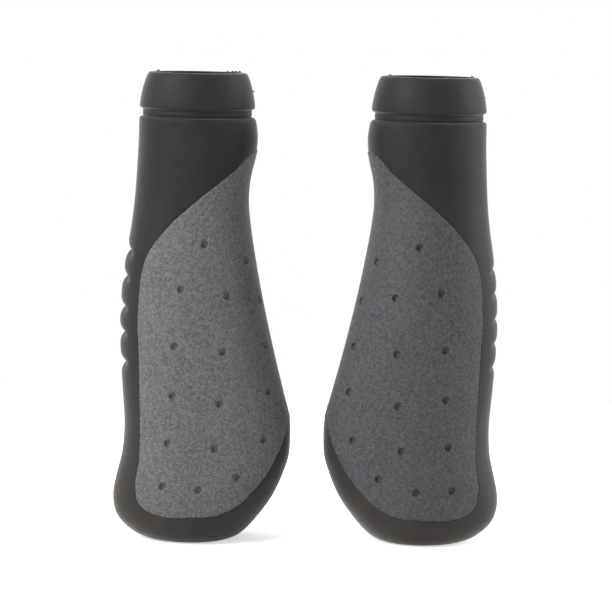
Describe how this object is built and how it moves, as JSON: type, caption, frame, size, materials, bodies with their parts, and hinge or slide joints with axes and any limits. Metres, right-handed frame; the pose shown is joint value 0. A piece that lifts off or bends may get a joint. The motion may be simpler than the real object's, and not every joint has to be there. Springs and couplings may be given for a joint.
{
  "type": "handlebar grip pair",
  "caption": "Mirrored pair of ergonomic slip-on handlebar grips: rubber bodies with a palm wing, ring collar and finger grooves, and a dimpled textured palm pad on each.",
  "frame": {"origin": "midway between the two grips' bore axes, on the plane that their closed outer ends stand on", "axes": "+Z along both bores towards the mouths, +X from the left grip to the right grip, -Y towards the padded faces"},
  "size_m": [0.108, 0.0325, 0.13],
  "materials": {
    "core_plastic": "hard moulded, matte",
    "black_rubber": "soft moulded, matte with a faint sheen",
    "light_grey_pad": "fine leather grain, matte",
    "dark_grey_pad": "fine leather grain, matte"
  },
  "bodies": {
    "left_grip": {"left_core_sleeve": "core_plastic", "left_rubber_body": "black_rubber", "left_palm_pad": "light_grey_pad"},
    "right_grip": {"right_core_sleeve": "core_plastic", "right_rubber_body": "black_rubber", "right_palm_pad": "dark_grey_pad"}
  },
  "joints": [
    {"name": "right_grip_apart", "type": "slide", "parent": "left_grip", "child": "right_grip", "axis": [1, 0, 0], "range_m": [0, 0.25]}
  ]
}
